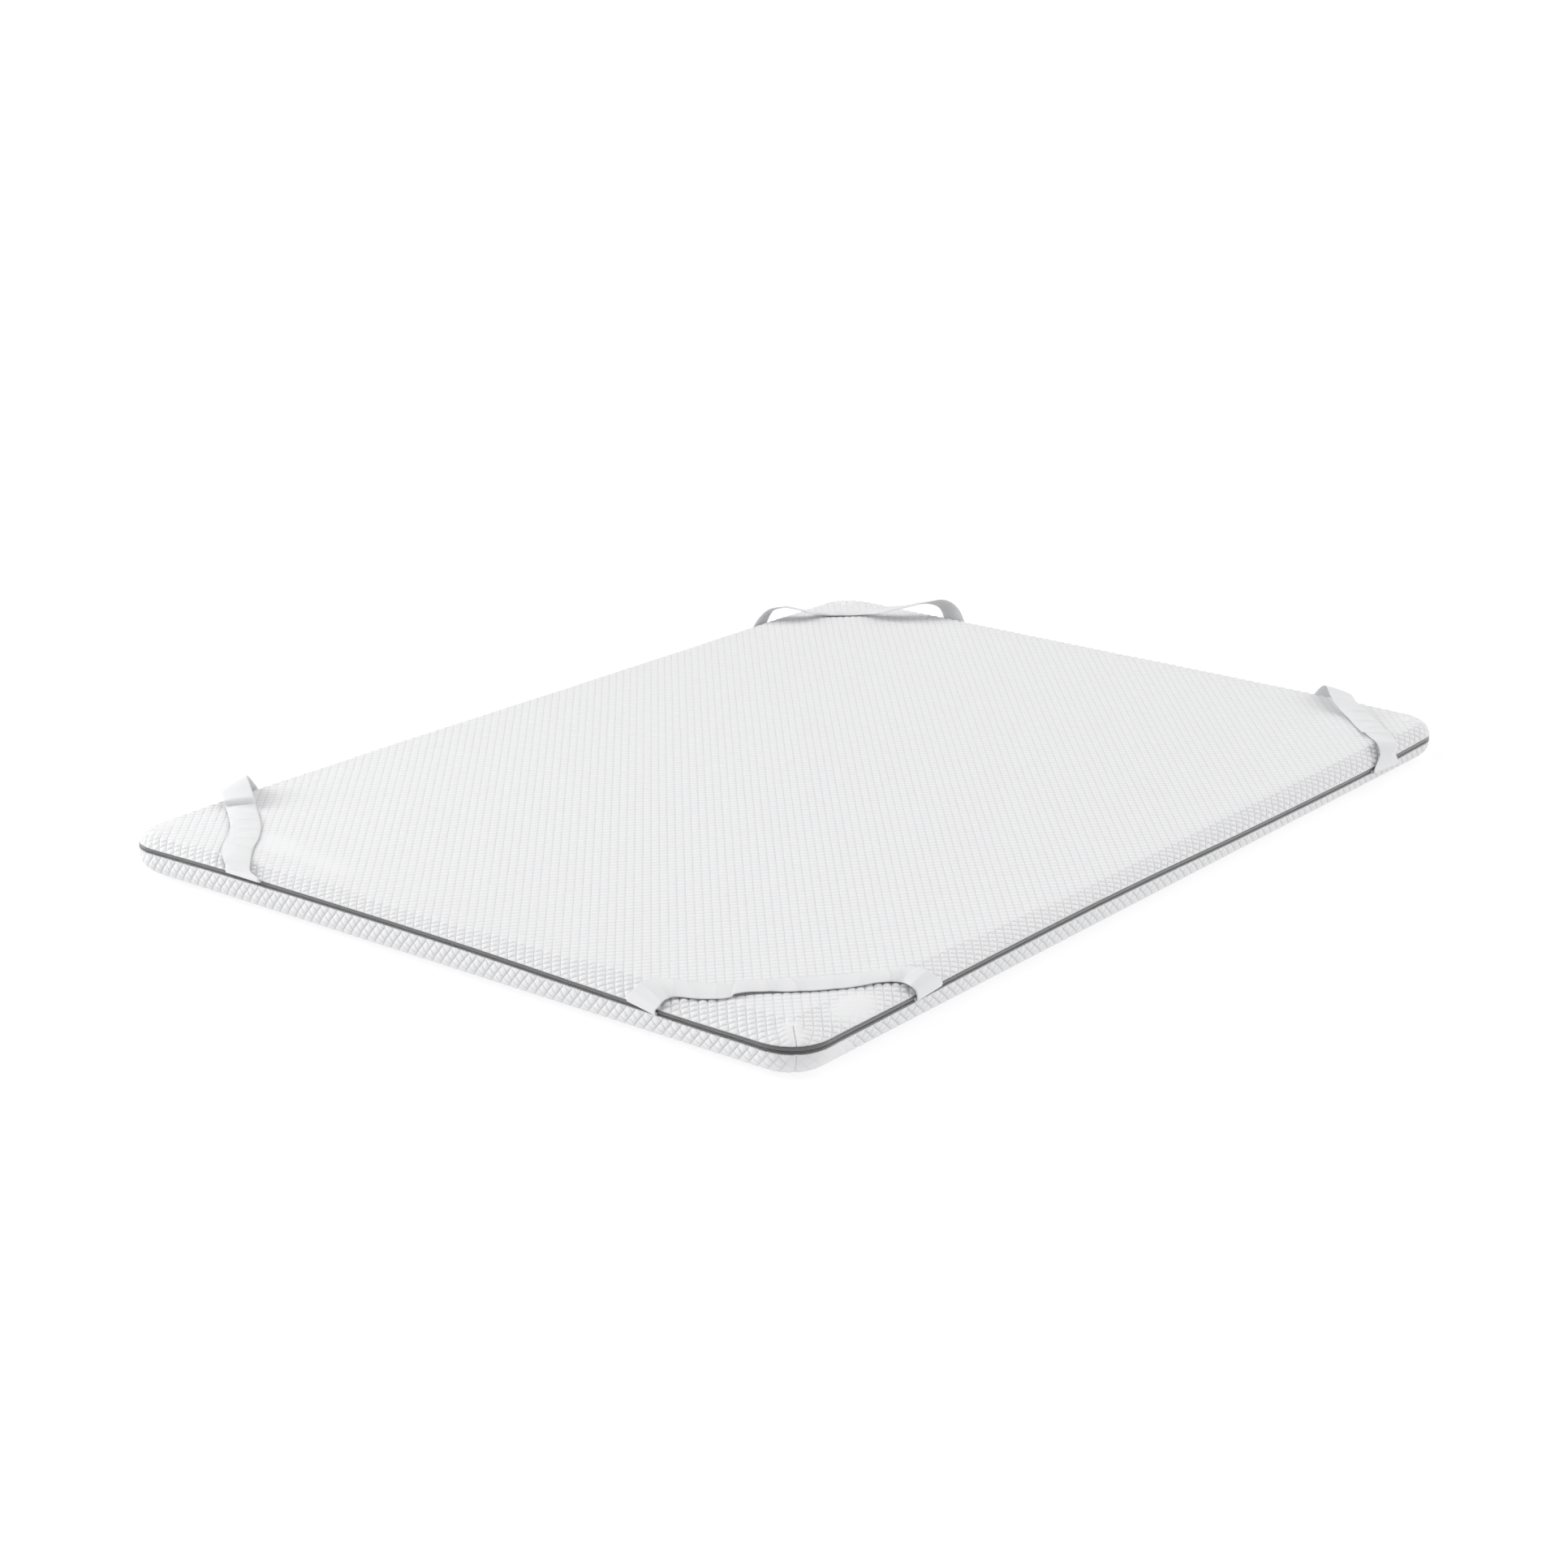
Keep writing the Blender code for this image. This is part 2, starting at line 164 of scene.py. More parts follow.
def place_on_outline(run):
    """Foot point on the widest line and outward direction at a run round the outline."""
    corner_run = CORNER_RADIUS * pi / 2
    run = np.asarray(run) % PERIMETER
    x, y, angle = np.zeros_like(run), np.zeros_like(run), np.zeros_like(run)
    start = 0.0
    sides = ((-CORE_X, -CORE_Y, 2 * CORE_X), (CORE_X, -CORE_Y, 2 * CORE_Y),
             (CORE_X, CORE_Y, 2 * CORE_X), (-CORE_X, CORE_Y, 2 * CORE_Y))
    for side, (core_x, core_y, length) in enumerate(sides):
        along = side * pi / 2
        inside = (run >= start) & (run < start + length + corner_run)
        passed = np.minimum(run - start, length)
        turned = np.maximum(run - start - length, 0) / CORNER_RADIUS
        x = np.where(inside, core_x + round(cos(along)) * passed, x)
        y = np.where(inside, core_y + round(sin(along)) * passed, y)
        angle = np.where(inside, along - pi / 2 + turned, angle)
        start += length + corner_run
    out_x, out_y = np.cos(angle), np.sin(angle)
    return x + out_x * CORNER_RADIUS, y + out_y * CORNER_RADIUS, out_x, out_y


def edge_heights(node, pick):
    """Run round the outline and height of a zip tape's upper or lower edge."""
    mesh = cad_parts[node].data
    points = np.zeros(len(mesh.vertices) * 3, np.float32)
    mesh.vertices.foreach_get("co", points)
    points = points.reshape(-1, 3).astype(float)
    run = outline_place(points[:, 0], points[:, 1])[3] % PERIMETER
    heights = {}
    for place, height in zip(np.round(run, 3), points[:, 2]):
        heights[place] = pick(heights.get(place, height), height)
    places = sorted(heights)
    return np.array(places), np.array([heights[place] for place in places])


def smooth_round(places, values):
    """A function of the run: the closed smooth curve through the values."""
    places = np.concatenate((places - PERIMETER, places, places + PERIMETER))
    values = np.tile(values, 3)
    slopes = np.gradient(values, places)

    def at(run):
        run = np.asarray(run) % PERIMETER
        i = np.searchsorted(places, run, side="right") - 1
        span = places[i + 1] - places[i]
        t = (run - places[i]) / span
        rise = values[i + 1] - values[i]
        bend_low = slopes[i] * span - rise
        bend_high = -slopes[i + 1] * span + rise
        bow = (1 - t) * bend_low + t * bend_high
        return values[i] + t * rise + t * (1 - t) * bow

    return at


tape_top = smooth_round(*edge_heights("zip_tape_upper", max))
tape_bottom = smooth_round(*edge_heights("zip_tape_lower", min))


def upper_seam(run):
    """Height of the upper cover's folded edge."""
    return tape_top(run) + PIECE_GAP


def lower_seam(run):
    """Height of the lower cover's folded edge."""
    return tape_bottom(run) - PIECE_GAP


# -------- quilted covers

def superellipse(exponent):
    """Sideways and upward reach, 0 to 1, along a quarter superellipse from its top."""
    angle = pi / 2 * np.linspace(1, 0, SECTION_STEPS)
    return 1 - np.cos(angle) ** (2 / exponent), np.sin(angle) ** (2 / exponent)


def upper_section(seam, inset):
    """Depth and height of the points from the top's fold down to the upper seam."""
    inward, upward = superellipse(SHOULDER_EXPONENT)
    start = seam[:, None] + LIP_ROUND
    return with_lip(inset[:, None] * inward, start + (THICKNESS - start) * upward, seam)


def lower_section(seam, inset):
    """Depth and height of the points from the underside's fold up to the lower seam."""
    inward, upward = superellipse(UNDERCUT_EXPONENT)
    depth = inset[:, None] * inward
    height = np.broadcast_to(UNDERCUT_HEIGHT * (1 - upward), depth.shape)
    wall = seam[:, None] - LIP_ROUND
    depth = np.concatenate((depth, np.zeros_like(wall)), 1)
    return with_lip(depth, np.concatenate((height, wall), 1), seam)


def with_lip(depth, height, seam):
    """Section lines with the folded edge beside the tape added."""
    lip = np.full((len(seam), 1), COVER_LIP)
    return np.concatenate((depth, lip), 1), np.concatenate((height, seam[:, None]), 1)


def follow(depth, height, travelled):
    """Depth, height and outward normal at a distance along each section line."""
    step = step_lengths(depth, height)
    passed = np.concatenate((np.zeros((len(step), 1)), np.cumsum(step, 1)), 1)
    i = np.clip((passed <= travelled[:, None]).sum(1) - 1, 0, step.shape[1] - 1)
    row = np.arange(len(step))
    share = np.clip((travelled - passed[row, i]) / step[row, i], 0, 1)
    along_depth = depth[row, i + 1] - depth[row, i]
    along_height = height[row, i + 1] - height[row, i]
    at_depth = depth[row, i] + share * along_depth
    at_height = height[row, i] + share * along_height
    length = np.hypot(along_depth, along_height)
    return at_depth, at_height, along_height / length, along_depth / length


def step_lengths(depth, height):
    return np.hypot(np.diff(depth, axis=1), np.diff(height, axis=1))


def smoothstep(low, high, value):
    t = np.clip((value - low) / (high - low), 0, 1)
    return t * t * (3 - 2 * t)


def pillow(alpha, beta, ridged):
    """Height of the quilting: 0 in its valleys, 1 on its crowns.

    Where ridged is 1, as on the lower side, the alpha lines pull deep and the beta lines
    only crease the ridges between them.
    """
    across, along = np.abs(np.sin(pi * alpha)), np.abs(np.sin(pi * beta))
    even = (across * along) ** PLUMPNESS
    creased = RIDGE_LEFT + (1 - RIDGE_LEFT) * along ** RIDGE_PLUMPNESS
    ridge = across ** RIDGE_PLUMPNESS * creased
    return even + (ridge - even) * ridged


def pressed_flat(x, y, patches):
    """How much of the quilting is left, 0 to 1, beside the pressed patches."""
    left = np.ones_like(x)
    for patch in patches:
        turn = radians(patch.turn)
        dx, dy = x - patch.x, y - patch.y
        along = (dx * cos(turn) + dy * sin(turn)) / patch.long
        across = (dy * cos(turn) - dx * sin(turn)) / patch.wide
        left = left * (1 - patch.amount * np.exp(-(along ** 2 + across ** 2) ** 2))
    return left


def slack(x, y):
    """Gentle unevenness of the padding, from -1 to 1."""
    total = 0
    for along_x, along_y, phase in SLACK_WAVES:
        total = total + np.sin(2 * pi * (along_x * x + along_y * y) / SLACK_SIZE + phase)
    return total / len(SLACK_WAVES)


def fine_triangles(cells, key):
    """Triangles of whole diamonds in fine steps, their diagonals towards the middles.

    Cells are (alpha, beta) whole numbers; key numbers the finest lattice points.
    """
    steps = EDGE_STEPS
    a, b = np.divmod(np.arange(steps ** 2), steps)
    falling = (a < steps // 2) != (b < steps // 2)
    base_a = cells[:, 0, None] * steps + a
    base_b = cells[:, 1, None] * steps + b
    corners = ((0, 0), (1, 0), (1, 1), (0, 1))
    at = [key(base_a + da, base_b + db) for da, db in corners]
    first, second, third, fourth = (
        np.where(falling, at[(i + 1) % 4], at[i]) for i in range(4))
    return np.concatenate((
        np.stack((first, second, third), -1).reshape(-1, 3),
        np.stack((first, third, fourth), -1).reshape(-1, 3),
    ))


def fan_triangles(cells, key, step):
    """A fan round the middle of each whole diamond, its rim in strides of step."""
    steps = np.arange(0, EDGE_STEPS, step)
    none, full = np.zeros_like(steps), np.full_like(steps, EDGE_STEPS)
    side_a = np.concatenate((steps, full, full - steps, none))
    side_b = np.concatenate((none, steps, full, full - steps))
    base_a, base_b = cells[:, 0, None] * EDGE_STEPS, cells[:, 1, None] * EDGE_STEPS
    rim = key(base_a + side_a, base_b + side_b)
    middle = key(base_a + EDGE_STEPS // 2, base_b + EDGE_STEPS // 2)
    middle = np.broadcast_to(middle, rim.shape)
    return np.stack((rim, np.roll(rim, -1, 1), middle), -1).reshape(-1, 3)


def from_outline(x, y):
    """How far in from the pad's widest line a point of the flat panel lies."""
    inside = np.minimum(CORE_X - np.abs(x), CORE_Y - np.abs(y))
    reach = outline_place(x, y)[2]
    return np.where(reach > 0, CORNER_RADIUS - reach, CORNER_RADIUS + inside)


def fold_inset(run):
    """How far in from the widest line the top starts to round down."""
    places, insets = np.array(FOLD_LINE).T
    return smooth_round(places, insets * MM)(run)


def undercut_inset(run):
    return np.full_like(run, UNDERCUT_INSET)


# A cover: the height of its flat panel and the way that it faces, its seam, section lines
# and fold, a diamond's crown on the flat and on the side, how much of the crown lies under
# the flat's level, how ridged its side is, how far the quilting fades beside the hem, how
# far past the fold the fine steps start, its pressed patches, and its closing height
Cover = namedtuple("Cover", "name flat facing seam section inset crown_flat crown_side "
                   "sink ridged hem_fade fine_from patches closing_height")


def cover_lattice(inset, fine_from):
    """Lattice coordinates and triangles of the whole diamonds over a folded panel."""
    reach_x, reach_y = WIDTH / 2 + LONGEST_FOLD, LENGTH / 2 + LONGEST_FOLD
    span = int(ALPHA_X * reach_x + ALPHA_Y * reach_y)
    whole = np.arange(-span, span)
    cells = np.stack(np.meshgrid(whole, whole, indexing="ij"), -1).reshape(-1, 2)
    shift = (span + 1) * EDGE_STEPS
    size = 2 * shift + 1

    middle_x, middle_y = plane_point(cells[:, 0] + 0.5, cells[:, 1] + 0.5)
    _, _, reach, run = outline_place(middle_x, middle_y)
    travelled = inset(run) - from_outline(middle_x, middle_y)
    cut = (np.abs(middle_x) > CORE_X) & (np.abs(middle_y) > CORE_Y) & (reach > DART_BLEND[0])
    fine = ((travelled > fine_from) | cut) & (travelled < LONGEST_FOLD)
    joined = (travelled > fine_from - JOINED_BAND) & ~fine & (travelled < LONGEST_FOLD)
    coarse = (travelled <= fine_from - JOINED_BAND) & ~cut

    def key(a, b):
        return (a + shift) * size + b + shift

    triangles = np.concatenate((
        fine_triangles(cells[fine], key),
        fan_triangles(cells[joined], key, 1),
        fan_triangles(cells[coarse], key, EDGE_STEPS),
    ))
    numbers, triangles = np.unique(triangles, return_inverse=True)
    alpha = lattice_value(numbers // size - shift)
    beta = lattice_value(numbers % size - shift)
    return alpha, beta, triangles.reshape(-1, 3)


def lattice_value(steps):
    """Lattice coordinate of a fine step: the steps are closest beside the valleys."""
    return steps // EDGE_STEPS + STEP_PLACES[steps % EDGE_STEPS]


def plane_point(alpha, beta):
    """Where a lattice point lies on the flat cloth."""
    return (alpha - beta) / (2 * ALPHA_X), (alpha + beta) / (2 * ALPHA_Y)


def cloth_place(x, y, place, on_front):
    """Where a point of the folded panel lies on the cloth that is cut and sewn there.

    The cloth runs straight on round each corner from both sides and meets in the dart.
    on_front picks the front's or back's cloth, and the sides' cloth otherwise.
    """
    out_x, out_y = np.abs(place.out_x), np.abs(place.out_y)
    past_x = np.where(on_front, place.radius * np.arctan2(out_x, out_y), place.reach)
    past_y = np.where(on_front, place.reach, place.radius * np.arctan2(out_y, out_x))
    cut_x = np.clip(x, -CORE_X, CORE_X) + np.sign(x) * past_x
    cut_y = np.clip(y, -CORE_Y, CORE_Y) + np.sign(y) * past_y
    sewn = smoothstep(*DART_BLEND, place.reach) * in_corner(place)
    return x + (cut_x - x) * sewn, y + (cut_y - y) * sewn


# Places over the folded panel: outward direction, distance from the corner circles' line
# on the flat cloth and in space, cloth passed from the fold, and its whole way to the hem
Place = namedtuple("Place", "out_x out_y reach radius travelled total")


def in_corner(place):
    return (np.abs(place.out_x) > 1e-6) & (np.abs(place.out_y) > 1e-6)


def lattice_of(x, y):
    return ALPHA_X * x + ALPHA_Y * y, -ALPHA_X * x + ALPHA_Y * y


def dart_distance(place):
    """Distance round the outline from the nearest corner's dart."""
    turn = np.abs(np.arctan2(np.abs(place.out_y), np.abs(place.out_x)) - pi / 4)
    return np.where(in_corner(place), turn * place.radius, 1.0)


def quilting_left(cover, place, space):
    """How much of the quilting is left, 0 to 1, where the cloth is stretched or pressed."""
    near_dart = smoothstep(*DART_STRETCH, dart_distance(place))
    stretched = near_dart * smoothstep(*STRETCH_REACH, place.reach)
    return (1 - STRETCH * stretched) * pressed_flat(*space, cover.patches)


def relief(cover, place, x, y, space, left):
    """How far the cloth stands out of its smooth shape: quilting, darts and slack."""
    on_front = np.abs(place.out_y) > np.abs(place.out_x)
    alpha, beta = lattice_of(*cloth_place(x, y, place, on_front))
    from_dart = dart_distance(place)
    from_hem = place.total - place.travelled
    on_side = smoothstep(0, SIDE_BLEND, place.travelled)
    left = smoothstep(0, cover.hem_fade, from_hem) * left
    crown = cover.crown_flat + (cover.crown_side - cover.crown_flat) * on_side
    if cover.facing < 0:
        risen = smoothstep(*BAND_START, place.travelled)
        left = left * (UNDERSIDE_LEFT + (1 - UNDERSIDE_LEFT) * risen)
    sink = cover.sink + (1 - cover.sink) * on_side
    out = (pillow(alpha, beta, cover.ridged * on_side) - sink) * crown * left
    below_ear = smoothstep(EAR_REACH, EAR_REACH + DART_START, place.reach)
    out = out - DART_DEPTH * np.exp(-(from_dart / DART_WIDTH) ** 2) * below_ear
    if cover.facing > 0:
        along = (place.reach - EAR_REACH) / EAR_LENGTH
        aside = (from_dart - EAR_ASIDE) / EAR_WIDTH
        out = out + EAR_HEIGHT * np.exp(-along ** 2 - aside ** 2)
        out = out + SLACK_DEPTH * slack(*space) * smoothstep(0, SLACK_FADE, from_hem)
    return out


def quilted_cover(cover):
    """A quilted panel folded over the pad's edge to a seam, hemmed and closed inside."""
    alpha, beta, triangles = cover_lattice(cover.inset, cover.fine_from)
    flat_x, flat_y = plane_point(alpha, beta)
    out_x, out_y, reach, run = outline_place(flat_x, flat_y)
    inset = cover.inset(run)
    depth, height = cover.section(cover.seam(run), inset)
    total = step_lengths(depth, height).sum(1)
    travelled = reach - (CORNER_RADIUS - inset)
    on_hem = travelled > total - SNAP
    triangles = triangles[~on_hem[triangles].all(1)]
    travelled = np.where(on_hem, total, travelled)

    folded = travelled > 0
    passed, level, steep, slope = follow(depth, height, np.maximum(travelled, 0))
    radius = np.where(folded, CORNER_RADIUS - passed, reach)
    place = Place(out_x, out_y, reach, radius, travelled, total)
    x, y = flat_x + out_x * (radius - reach), flat_y + out_y * (radius - reach)
    z = np.where(folded, level, cover.flat)
    left = quilting_left(cover, place, (x, y))
    bump = relief(cover, place, flat_x, flat_y, (x, y), left)
    outward = np.where(folded, np.abs(steep), 0) * bump
    upward = np.where(folded, np.abs(slope), 1) * cover.facing * bump
    points = np.stack((x + out_x * outward, y + out_y * outward, z + upward), -1)

    on_front = (np.abs(out_y) - np.abs(out_x))[triangles].sum(1) > 0
    loops = triangles.ravel()
    at_loops = Place(*(value[loops] for value in place))
    cloth = cloth_place(flat_x[loops], flat_y[loops], at_loops, np.repeat(on_front, 3))
    uv = np.stack(lattice_of(*cloth), -1)
    sewn = in_corner(place)[triangles].any(1) & (reach[triangles].max(1) > DART_BLEND[0])
    by_point = (points, alpha, beta, on_hem, run, left)
    return closed_cover(cover, by_point, triangles, uv, sewn)


def closed_cover(cover, by_point, triangles, uv, sewn):
    """The cover's object: quilted cloth, hem turned in behind the tape, closing face."""
    used, triangles = np.unique(triangles, return_inverse=True)
    triangles = triangles.reshape(-1, 3)
    points, alpha, beta, on_hem, run, left = (values[used] for values in by_point)
    hem = np.flatnonzero(on_hem)
    hem = hem[np.argsort(run[hem] % PERIMETER)]
    foot_x, foot_y, out_x, out_y = place_on_outline(run[hem])
    seam = cover.seam(run[hem])
    inner = np.stack((foot_x - out_x * HEM_DEPTH, foot_y - out_y * HEM_DEPTH, seam), -1)
    cloth_points, count = len(points), len(hem)
    ring = np.arange(cloth_points, cloth_points + count)
    following = np.roll(np.arange(count), -1)
    closing = np.concatenate((
        np.stack((hem, hem[following], ring[following]), -1),
        np.stack((hem, ring[following], ring), -1),
        np.stack((ring, ring[following], np.full(count, cloth_points + count)), -1),
    ))
    turned = np.unique(triangles[sewn])
    points = np.concatenate((points, inner, [(0, 0, cover.closing_height)]))
    mesh = mesh_of(cover.name, points, np.concatenate((triangles, closing)))
    add_uv(mesh, "quilt", np.concatenate((uv, np.zeros((closing.size, 2)))))
    crease_valleys(mesh, alpha, beta, turned)
    quilting = mesh.attributes.new("quilting", "FLOAT", "POINT")
    quilting.data.foreach_set("value", np.concatenate((left, np.ones(count + 1))))
    if cover.facing < 0:
        mesh.flip_normals()
    return put(cover.name, mesh)


def mesh_of(name, points, faces):
    """A smooth-shaded mesh of faces with the same number of corners each."""
    faces = np.asarray(faces)
    mesh = bpy.data.meshes.new(name)
    mesh.vertices.add(len(points))
    mesh.vertices.foreach_set("co", np.asarray(points, np.float32).ravel())
    corners = faces.shape[1]
    mesh.loops.add(faces.size)
    mesh.loops.foreach_set("vertex_index", faces.ravel().astype(np.int32))
    mesh.polygons.add(len(faces))
    starts = np.arange(0, faces.size, corners, dtype=np.int32)
    mesh.polygons.foreach_set("loop_start", starts)
    mesh.update(calc_edges=True)
    mesh.validate()
    mesh.shade_smooth()
    return mesh


def add_uv(mesh, name, uv):
    layer = mesh.uv_layers.new(name=name)
    layer.data.foreach_set("uv", np.asarray(uv, np.float32).ravel())


def strip_mesh(name, points, along, across, closed=False):
    """A mesh over a grid of points, with a texture place along and across for each."""
    number = np.arange(points[..., 0].size).reshape(points.shape[:2])
    if closed:
        number = np.pad(number, (0, 1), mode="wrap")
    faces = np.stack((number[:-1, :-1], number[:-1, 1:], number[1:, 1:], number[1:, :-1]), -1)
    mesh = mesh_of(name, points.reshape(-1, 3), faces.reshape(-1, 4))
    loops = np.zeros(len(mesh.loops), np.int32)
    mesh.loops.foreach_get("vertex_index", loops)
    places = np.stack(np.broadcast_arrays(along, across), -1).reshape(-1, 2)
    add_uv(mesh, "strip", places[loops])
    return mesh


def crease_valleys(mesh, alpha, beta, turned):
    """Mark the stitch lines between diamonds, and the hem's folds, as sharp.

    Between the turned points the stitch lines don't follow the mesh.
    """
    edges = np.zeros(len(mesh.edges) * 2, np.int32)
    mesh.edges.foreach_get("vertices", edges)
    start, end = edges.reshape(-1, 2).T
    cloth_points = len(alpha)
    on_cloth = np.maximum(start, end) < cloth_points
    start, end = np.minimum(start, cloth_points - 1), np.minimum(end, cloth_points - 1)
    follows = np.ones(cloth_points, bool)
    follows[turned] = False
    sharp = np.zeros(len(mesh.edges), bool)
    for value in (alpha, beta):
        sharp |= (value[start] == value[end]) & (value[start] % 1 == 0)
    sharp &= follows[start] | follows[end]
    attribute = mesh.attributes.new("sharp_edge", "BOOLEAN", "EDGE")
    attribute.data.foreach_set("value", sharp | ~on_cloth)


def put(name, mesh):
    thing = bpy.data.objects.new(name, mesh)
    bpy.context.scene.collection.objects.link(thing)
    return thing


# -------- zip

def zip_runs():
    return np.linspace(0, PERIMETER, round(PERIMETER / ZIP_STEP), endpoint=False)


def zip_middle(run):
    return (tape_top(run) + tape_bottom(run)) / 2


def add_band(name, run, section):
    """A closed band round the pad. A section has (depth, height) arrays along the run."""
    foot_x, foot_y, out_x, out_y = place_on_outline(run)
    rings = []
    for depth, height in section:
        rings.append(np.stack((foot_x - out_x * depth, foot_y - out_y * depth, height), -1))
    across = np.arange(len(rings))[:, None] / len(rings)
    return put(name, strip_mesh(name, np.array(rings), run, across, closed=True))


def add_tape(name, bottom, top):
    """A zip tape: an upright woven strip with softly rounded edges."""
    run = zip_runs()
    low = bottom(run)
    rise = top(run) - low
    section = [(TAPE_FACE + depth * MM, low + share * rise) for share, depth in TAPE_FACE_LINE]
    back = TAPE_FACE + TAPE_THICKNESS
    for share in (TAPE_FACE_LINE[-1][0], TAPE_FACE_LINE[0][0]):
        section.append((back, low + share * rise))
    return add_band(name, run, section)


def add_coil(name):
    """The meshed coil, seen in the slit between the tapes."""
    run = zip_runs()
    middle = zip_middle(run) + (SLIT_TOP + SLIT_BOTTOM) / 2
    section = []
    for step in range(COIL_SIDES):
        angle = 2 * pi * step / COIL_SIDES
        depth = COIL_DEPTH - cos(angle) * COIL_RADIUS
        section.append((depth, middle + sin(angle) * COIL_RADIUS))
    return add_band(name, run, section)


# -------- straps

STRAP_WIDTH = 50 * MM
STRAP_THICKNESS = 1.2 * MM
STRAP_COLUMNS = 20             # faces across a strap
STEPS_PER_ROW = 24             # faces between two rows of a strap's table
STRAP_CROWN = 1.0 * MM         # the middle of a strap bulges this much over its edges
SETTLED_GAP = 1.25 * MM        # from the cover's shoulder to a strap's middle layer
CREST_GAP = 0.65 * MM          # and this much more over the crowns of its flat top
SETTLE_STEP = 0.2 * MM
SETTLE_MOST = 15 * MM
EDGE_SETTLE_MOST = 12 * MM
EDGE_BEND = 1.6                # exponent of a strap's bend down to its edges
ARCH_HEIGHTS = (82 * MM, 88 * MM)   # straps that stand higher than this don't settle
ROOT_REACH = (66 * MM, 69 * MM)     # nor do their sewn ends, this far out
SETTLE_ROWS = 6                # rows over which the settling is evened out
STRAP_REACH = 8 * MM           # the middle of a strap's thickness stands out no further
LAYER_OUT = PIECE_GAP + STRAP_THICKNESS / 2
FOLD_HEIGHT = 1.6 * MM
SEWN_HEIGHT = 3.6 * MM
FREE_HEIGHT = 8 * MM

Root = namedtuple("Root", "place edge lean drop bulge")
Strap = namedtuple("Strap", "name corner start rows end length")

# The middle lines of the straps, as in the CAD: a root's distance from the corner, the
# length of its fold, its slope, its drop under the seam and its bulge; a row's two places
# in from the corner, its height, and the turn and lean of the crossing direction. In mm
# and degrees. The last value is a strap's own length in metres.
STRAPS = (
    Strap("strap_near", (1, -1), Root(281, 54, 9, 3, 4), (
        (273, -3, 67, 2, 16), (264, 8, 80, 13, 18), (246, 25, 82, 32, 11),
        (222, 45, 78, 42, 7), (198, 66, 76, 45, 3), (184, 82, 76, 52, 0),
        (161, 110, 79, 56, -4), (119, 162, 77, 53, 1), (75, 217, 77, 56, 2),
        (44, 256, 80, 60, 0), (14, 284, 80, 80, 8), (-3, 295, 70, 90, 8),
    ), Root(304, 62, 4, 4, 6), 0.45),
    Strap("strap_left", (-1, -1), Root(298, 74, 0, 0, 7), (
        (286, -5, 73, 10, -4), (260, 17, 81, 24, -4), (232, 47, 82, 26, -3),
        (202, 86, 79, 32, 0), (167, 123, 79, 42, -1), (128, 156, 81, 48, -3),
        (89, 185, 83, 51, -2), (53, 212, 89, 56, 8), (19, 236, 96, 62, 24),
        (1, 262, 80, 72, 20),
    ), Root(285, 52, 10, 3, 5), 0.457),
    Strap("strap_right", (1, 1), Root(250, 54, 8, 2, 7), (
        (238, -3, 73, 6, 14), (214, 16, 88, 24, 16), (180, 60, 88, 27, 12),
        (142, 100, 86, 29, 0), (98, 143, 84, 34, 0), (56, 184, 81, 46, 0),
        (22, 214, 80, 56, 6), (1, 231, 75, 70, 10), (-6, 240, 60, 82, 4),
    ), Root(246, 92, 3, 11, 7), 0.42),
    Strap("strap_far", (-1, 1), Root(286, 52, 0, 3, 7), (
        (275, -6, 82, 4, 8), (264, 2, 96, 12, 18), (250, 18, 103, 17, 22),
        (230, 42, 100, 30, 18), (198, 76, 93, 41, 10), (156, 112, 84, 46, 4),
        (110, 158, 82, 52, 4), (74, 194, 84, 60, 8), (46, 216, 91, 66, 15),
        (22, 234, 95, 64, 14), (3, 254, 91, 66, 15), (-5, 272, 77, 75, 8),
    ), Root(284, 50, 0, 3, 6), 0.49),
)


# Creases across the straps, in mm: place along the strap, how much further along at the
# inner edge, height and width. A pleat is a step up to the cloth beyond, which comes down
# again over its width.
CREASE_SCALE = 3.0
CREASE_FALLS = (0.5, 1.2)      # a crease's fall on its gentle and its steep side
PLEAT_STEP = 2.5               # in mm, as are the lengths at both ends without creases
SMOOTH_ENDS = (25, 50)
EDGE_REST = 0.85               # share of a crease's height that a strap's edges don't take
CREASES = {
    "strap_near": (
        (70, 14, 0.9, 6), (96, -10, 0.7, 7), (132, 8, 0.6, 6),
        (206, -14, 1.3, 3.5), (216, -12, 0.9, 3), (247, -16, 1.4, 3.5),
        (258, -12, 0.8, 3), (304, -10, 0.9, 4), (345, 8, 0.6, 6),
        (388, -18, 1.5, 4), (402, -10, 1.0, 4), (424, 6, 0.9, 5),
    ),
    "strap_left": (
        (60, 6, 0.7, 6), (104, -6, 0.8, 5), (150, 10, 1.1, 4),
        (171, -8, 1.0, 4), (196, 6, 1.3, 4.5), (222, -12, 1.0, 4),
        (240, 10, 1.2, 4), (270, -6, 1.0, 5), (300, 12, 1.1, 4.5),
        (335, -8, 0.8, 6),
    ),
    "strap_right": (
        (90, 10, 0.7, 7), (140, -10, 0.8, 6), (205, 8, 0.9, 5),
        (262, -8, 1.0, 5), (300, 12, 1.2, 4), (335, -10, 0.9, 4),
    ),
    "strap_far": (
        (120, 8, 0.8, 6), (170, -10, 0.8, 5), (232, 6, 0.9, 5),
        (290, -8, 1.0, 5), (330, 10, 0.8, 6), (400, -6, 0.8, 6),
    ),
}
PLEATS = {"strap_near": ((157, 5, 4.0, 46),), "strap_right": ((318, 6, 2.2, 40),)}


